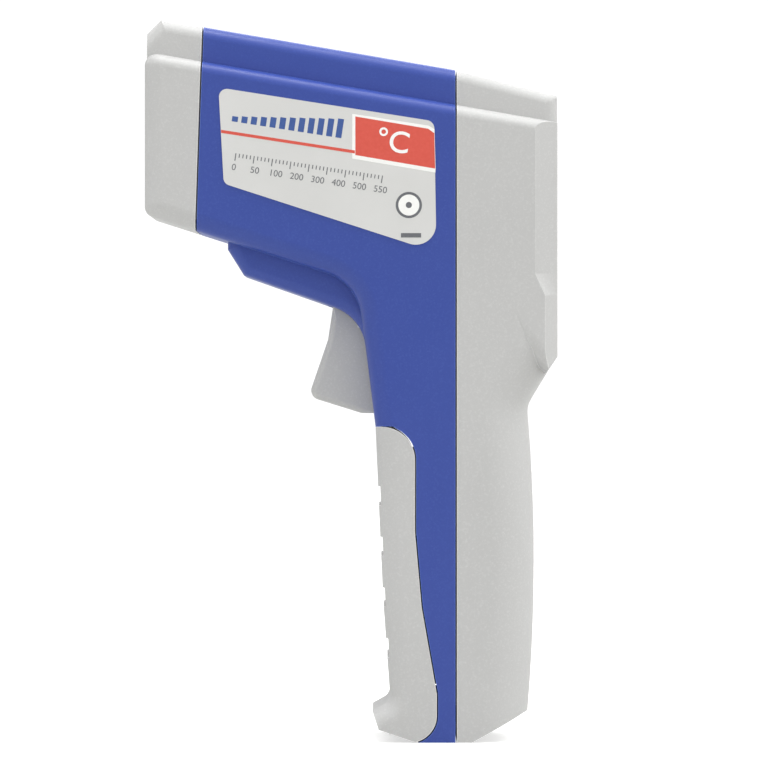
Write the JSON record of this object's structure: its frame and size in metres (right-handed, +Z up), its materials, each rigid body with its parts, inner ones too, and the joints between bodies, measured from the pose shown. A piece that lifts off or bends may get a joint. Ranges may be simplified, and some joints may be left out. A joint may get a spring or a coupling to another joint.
{
  "type": "pistol-grip infrared thermometer",
  "caption": "Pistol-grip infrared thermometer with trigger, aiming lasers, display, keys and hinged battery door.",
  "frame": {"origin": "on the surface the grip's foot stands on, midway along the length and on the middle plane", "axes": "+X forward out of the measuring nose, +Y to the user's left, +Z up along the grip"},
  "size_m": [0.0944, 0.0414, 0.1652],
  "materials": {
    "blue_case": "fine spark texture",
    "grey_case": "fine spark texture",
    "grey_key": "fine spark texture",
    "label_film": "printed film",
    "black_plastic": "matt, light absorbing",
    "steel": "turned",
    "spring_steel": "drawn wire",
    "zinc_screw": "plated",
    "sensor_metal": "drawn can",
    "lens_plastic": "milky moulded lens",
    "window_plastic": "clear over smoke",
    "lcd": "polarised",
    "backlight": "light guide",
    "zebra": "striped strip",
    "board": "solder mask",
    "component": "moulded",
    "brass_barrel": "turned",
    "red_glass": "clear red",
    "battery_skin": "printed sleeve over the can",
    "wire_red": "insulation",
    "wire_black": "insulation",
    "wire_white": "insulation"
  },
  "bodies": {
    "case": {"front_housing": "blue_case", "rear_housing": "grey_case", "nose_cap": "grey_case", "door_hinge_pin": "steel", "trigger_pin": "steel", "trigger_spring": "spring_steel", "trigger_switch": "component", "left_label": "label_film", "right_label": "label_film", "lens_cone": "black_plastic", "infrared_lens": "lens_plastic", "optics_tube": "black_plastic", "thermopile_sensor": "sensor_metal", "sensor_board": "board", "sensor_cable": "wire_white", "laser_modules": "brass_barrel", "laser_windows": "red_glass", "laser_leads": "wire_black", "optics_bracket": "black_plastic", "bracket_screws": "zinc_screw", "display_window": "window_plastic", "lcd_glass": "lcd", "lcd_backlight": "backlight", "zebra_strips": "zebra", "main_board": "board", "board_screws": "zinc_screw", "board_components": "component", "buzzer": "component", "key_switches": "component", "battery": "battery_skin", "battery_snap": "black_plastic", "battery_lead_red": "wire_red", "battery_lead_black": "wire_black", "switch_leads": "wire_white", "housing_screws": "zinc_screw"},
    "door": {"battery_door": "grey_case"},
    "trigger_lever": {"trigger": "grey_case"},
    "switch_plunger": {"trigger_switch_plunger": "grey_key"},
    "left_key": {"key_left": "grey_key", "key_left_plunger": "component"},
    "middle_key": {"key_middle": "grey_key", "key_middle_plunger": "component"},
    "right_key": {"key_right": "grey_key", "key_right_plunger": "component"}
  },
  "joints": [
    {"name": "door_hinge", "type": "hinge", "parent": "case", "child": "door", "pos_m": [-0.0134, 0, 0.0062], "axis": [0, 1, 0], "range_deg": [0, 60]},
    {"name": "trigger_pull", "type": "hinge", "parent": "case", "child": "trigger_lever", "pos_m": [0.005, 0, 0.106], "axis": [0, 1, 0], "range_deg": [0, 6], "stiffness_Nm_per_rad": 0.15, "springref_deg": -5.73, "deforming": ["trigger_spring"]},
    {"name": "switch_press", "type": "slide", "parent": "case", "child": "switch_plunger", "axis": [0, 0, 1], "range_m": [0, 0.001]},
    {"name": "left_key_press", "type": "slide", "parent": "case", "child": "left_key", "axis": [1, 0, 0], "range_m": [0, 0.0004], "stiffness_N_per_m": 600, "springref_m": -0.0005},
    {"name": "middle_key_press", "type": "slide", "parent": "case", "child": "middle_key", "axis": [1, 0, 0], "range_m": [0, 0.0004], "stiffness_N_per_m": 600, "springref_m": -0.0005},
    {"name": "right_key_press", "type": "slide", "parent": "case", "child": "right_key", "axis": [1, 0, 0], "range_m": [0, 0.0004], "stiffness_N_per_m": 600, "springref_m": -0.0005}
  ],
  "couplings": [
    {"joint": "switch_press", "follows": "trigger_pull", "m_per_rad": 0.0095}
  ]
}
